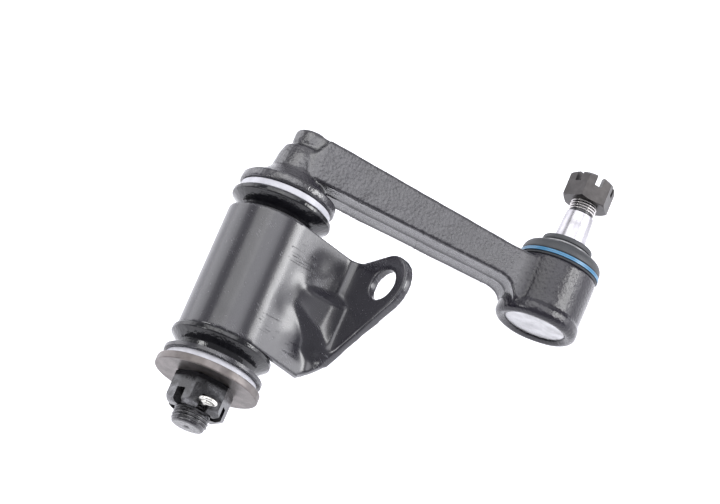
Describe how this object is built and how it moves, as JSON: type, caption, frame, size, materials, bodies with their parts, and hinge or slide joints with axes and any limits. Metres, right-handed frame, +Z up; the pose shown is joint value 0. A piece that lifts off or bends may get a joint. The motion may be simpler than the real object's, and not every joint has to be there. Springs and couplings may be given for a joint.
{
  "type": "idler_arm",
  "caption": "Steering idler arm: black forged arm on a vertical pivot pin, glossy black bracket with two bolt ears, and a ball joint with castle nut",
  "frame": {"origin": "midway between the two bolt holes, on the face of the bracket that meets the frame rail", "axes": "+X points out of the bracket into the frame rail, +Z is up along the pivot axis towards the ball stud, and -Y is towards the ear whose bolt hole is the higher one; the arm rests 30 degrees from +X towards -Y"},
  "size_m": [0.1466, 0.1363, 0.1795],
  "materials": {
    "black_forging": "cast black paint",
    "black_gloss": "glossy black paint",
    "tube_steel": "satin black paint",
    "white_plastic": "matte",
    "bush_plastic": "matte",
    "seal_rubber": "glossy",
    "boot_rubber": "matte",
    "blue_plastic": "satin",
    "washer_steel": "warm grey",
    "dark_nut": "phosphate",
    "bright_steel": "ground",
    "cap_steel": "white zinc"
  },
  "bodies": {
    "bracket": {"bracket_pressing": "black_gloss", "bushing_tube": "tube_steel", "upper_bush": "bush_plastic", "lower_bush": "bush_plastic", "upper_dust_seal": "seal_rubber", "lower_dust_seal": "seal_rubber", "upper_thrust_ring": "white_plastic", "lower_thrust_ring": "white_plastic", "lower_seal_plate": "tube_steel"},
    "arm": {"arm_forging": "black_forging", "pivot_washer": "washer_steel", "pivot_castle_nut": "dark_nut", "pivot_split_pin": "bright_steel", "upper_ball_seat": "bush_plastic", "lower_ball_seat": "bush_plastic", "seat_spring": "bright_steel", "housing_cap": "cap_steel", "dust_boot": "boot_rubber", "boot_band_ring": "blue_plastic"},
    "boot_neck": {"boot_neck_ring": "bright_steel"},
    "stud": {"ball_stud": "bright_steel", "stud_castle_nut": "dark_nut"}
  },
  "joints": [
    {"name": "pivot_swing", "type": "hinge", "parent": "bracket", "child": "arm", "pos_m": [-0.036, 0, 0], "axis": [0, 0, 1], "range_deg": [-45, 45]},
    {"name": "stud_tilt", "type": "hinge", "parent": "arm", "child": "boot_neck", "pos_m": [0.06853, -0.06035, 0.054], "axis": [0.5, 0.866, 0], "range_deg": [-16, 16], "deforming": ["dust_boot"]},
    {"name": "stud_spin", "type": "hinge", "parent": "boot_neck", "child": "stud", "pos_m": [0.06853, -0.06035, 0.054], "axis": [0, 0, 1], "continuous": true}
  ]
}
